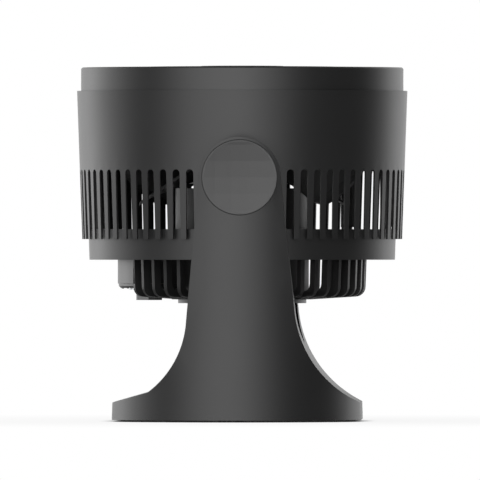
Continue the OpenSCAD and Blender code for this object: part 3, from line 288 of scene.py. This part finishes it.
# azimuth from the camera in degrees, right positive, and how bright the studio's wall of light is there
LIGHT_RING = [
    (-180, 1.14), (-155, 1.14), (-145, 1.66), (-135, 2.64), (-125, 2.55), (-115, 2.05), (-105, 1.78),
    (-95, 1.35), (-85, 0.64), (-75, 0.17), (-65, 0.12), (-55, 0.86), (-45, 1.69), (-35, 2.72),
    (-5, 3.47), (5, 3.42), (15, 2.2), (25, 1.64), (35, 0.57), (45, 0.05), (95, 0.02), (105, 0.16),
    (115, 0.67), (125, 1.19), (135, 1.82), (145, 1.39), (155, 1.21), (180, 1.14),
]
RING_PEAK = 3.5
# how bright the studio is above and below that wall, and where on the way up and down the wall ends
TOP_LEVEL = 0.3
LOW_LEVEL = 0.25
WALL_TOP = (0.48, 0.65)
WALL_FOOT = (-0.06, -0.26)

FLOOR_SIZE = 6
# the shadow is full inside the first edge, faint past the second, and gone at the far one
SHADOW_EDGE = (-6 * MM, 10 * MM)
SHADOW_FAR = 0.6
FAINT_SHARE = 0.14

CAMERA_DISTANCE = 15.3
CAMERA_TURN = math.radians(0.8)
CAMERA_TARGET = Vector((-0.0015, 0, 0.1221))
LENS = 1700


def grey(level):
    return level, level, level, 1


def studio_world():
    """White to the camera. The object is lit by a wall of panels round it, dark at the right."""
    world = bpy.data.worlds.new("studio")
    world.use_nodes = True
    tree = world.node_tree
    tree.nodes.clear()
    way = put(tree, "ShaderNodeTexCoord").outputs["Generated"]
    parts = put(tree, "ShaderNodeSeparateXYZ", Vector=way)
    toward = put(tree, "ShaderNodeMath", {"operation": "MULTIPLY"}, _0=parts.outputs["Y"], _1=-1.0)
    azimuth = put(tree, "ShaderNodeMath", {"operation": "ARCTAN2"},
                  _0=parts.outputs["X"], _1=toward.outputs[0])
    place = put(tree, "ShaderNodeMapRange", Value=azimuth.outputs[0], From_Min=-math.pi, From_Max=math.pi)
    ring = put(tree, "ShaderNodeValToRGB", Fac=place.outputs["Result"])
    marks = ring.color_ramp.elements
    while len(marks) < len(LIGHT_RING):
        marks.new(1.0)
    for mark, (turn, level) in zip(marks, LIGHT_RING):
        mark.position = (turn + 180) / 360
        mark.color = grey(level / RING_PEAK)
    above = put(tree, "ShaderNodeMapRange", {"interpolation_type": "SMOOTHSTEP"},
                Value=parts.outputs["Z"], From_Min=WALL_TOP[0], From_Max=WALL_TOP[1])
    below = put(tree, "ShaderNodeMapRange", {"interpolation_type": "SMOOTHSTEP"},
                Value=parts.outputs["Z"], From_Min=WALL_FOOT[0], From_Max=WALL_FOOT[1])
    light = colour_mix(tree, above.outputs["Result"], ring.outputs["Color"], grey(TOP_LEVEL / RING_PEAK))
    light = colour_mix(tree, below.outputs["Result"], light, grey(LOW_LEVEL / RING_PEAK))
    lit = put(tree, "ShaderNodeBackground", Color=light, Strength=RING_PEAK)
    seen = put(tree, "ShaderNodeBackground", Color=(1, 1, 1, 1), Strength=1.0)
    path = put(tree, "ShaderNodeLightPath")
    direct = put(tree, "ShaderNodeMath", {"operation": "MAXIMUM"},
                 _0=path.outputs["Is Camera Ray"], _1=path.outputs["Is Transmission Ray"])
    both = put(tree, "ShaderNodeMixShader", Fac=direct.outputs[0])
    tree.links.new(lit.outputs[0], both.inputs[1])
    tree.links.new(seen.outputs[0], both.inputs[2])
    end = put(tree, "ShaderNodeOutputWorld")
    tree.links.new(both.outputs[0], end.inputs["Surface"])
    bpy.context.scene.world = world


def pale_floor():
    """White to the camera but for the object's shadow, which is full under the foot and faint outside it."""
    low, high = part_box("stand_shell")
    foot_r = (high.x - low.x) / 2
    reach = (high.y - low.y) / 2 - foot_r
    bpy.ops.mesh.primitive_plane_add(size=FLOOR_SIZE)
    floor = bpy.context.object
    floor.name = "studio_floor"
    finish = bpy.data.materials.new("pale_floor")
    finish.use_nodes = True
    tree = finish.node_tree
    tree.nodes.clear()
    place = put(tree, "ShaderNodeTexCoord").outputs["Object"]
    from_foot = put(tree, "ShaderNodeVectorMath", {"operation": "SUBTRACT"},
                    _0=place, _1=((low.x + high.x) / 2, 0, 0))
    side = put(tree, "ShaderNodeVectorMath", {"operation": "ABSOLUTE"}, _0=from_foot.outputs["Vector"])
    past = put(tree, "ShaderNodeVectorMath", {"operation": "SUBTRACT"},
               _0=side.outputs["Vector"], _1=(0, reach, 0))
    outer = put(tree, "ShaderNodeVectorMath", {"operation": "MAXIMUM"},
                _0=past.outputs["Vector"], _1=(0, 0, 0))
    away = put(tree, "ShaderNodeVectorMath", {"operation": "LENGTH"}, _0=outer.outputs["Vector"])
    near = put(tree, "ShaderNodeMapRange", {"interpolation_type": "SMOOTHSTEP"},
               Value=away.outputs["Value"], To_Max=1 - FAINT_SHARE,
               From_Min=foot_r + SHADOW_EDGE[0], From_Max=foot_r + SHADOW_EDGE[1])
    far = put(tree, "ShaderNodeMapRange", {"interpolation_type": "SMOOTHSTEP"},
              Value=away.outputs["Value"], From_Min=foot_r, From_Max=SHADOW_FAR, To_Max=FAINT_SHARE)
    white = put(tree, "ShaderNodeMath", {"operation": "ADD"},
                _0=near.outputs["Result"], _1=far.outputs["Result"])
    matte = put(tree, "ShaderNodeBsdfDiffuse", Color=(1, 1, 1, 1))
    glow = put(tree, "ShaderNodeEmission", Color=(1, 1, 1, 1), Strength=1.0)
    seen = put(tree, "ShaderNodeMixShader", Fac=white.outputs[0])
    tree.links.new(matte.outputs[0], seen.inputs[1])
    tree.links.new(glow.outputs[0], seen.inputs[2])
    open_air = put(tree, "ShaderNodeBsdfTransparent")
    path = put(tree, "ShaderNodeLightPath")
    both = put(tree, "ShaderNodeMixShader", Fac=path.outputs["Is Camera Ray"])
    tree.links.new(open_air.outputs[0], both.inputs[1])
    tree.links.new(seen.outputs[0], both.inputs[2])
    end = put(tree, "ShaderNodeOutputMaterial")
    tree.links.new(both.outputs[0], end.inputs["Surface"])
    floor.data.materials.append(finish)


def photo_camera():
    """Level camera far off on the near side, a little to the right, as the photograph was taken."""
    away = Vector((math.sin(CAMERA_TURN), -math.cos(CAMERA_TURN), 0))
    data = bpy.data.cameras.new("photo_camera")
    data.lens = LENS
    data.sensor_width = 36
    data.clip_start, data.clip_end = 1, 100
    camera = bpy.data.objects.new("photo_camera", data)
    camera.location = CAMERA_TARGET + away * CAMERA_DISTANCE
    camera.rotation_mode = "QUATERNION"
    camera.rotation_quaternion = (-away).to_track_quat("-Z", "Y")
    bpy.context.scene.collection.objects.link(camera)
    bpy.context.scene.camera = camera


studio_world()
pale_floor()
photo_camera()
bpy.context.scene.view_settings.view_transform = "Standard"

bpy.context.view_layer.update()
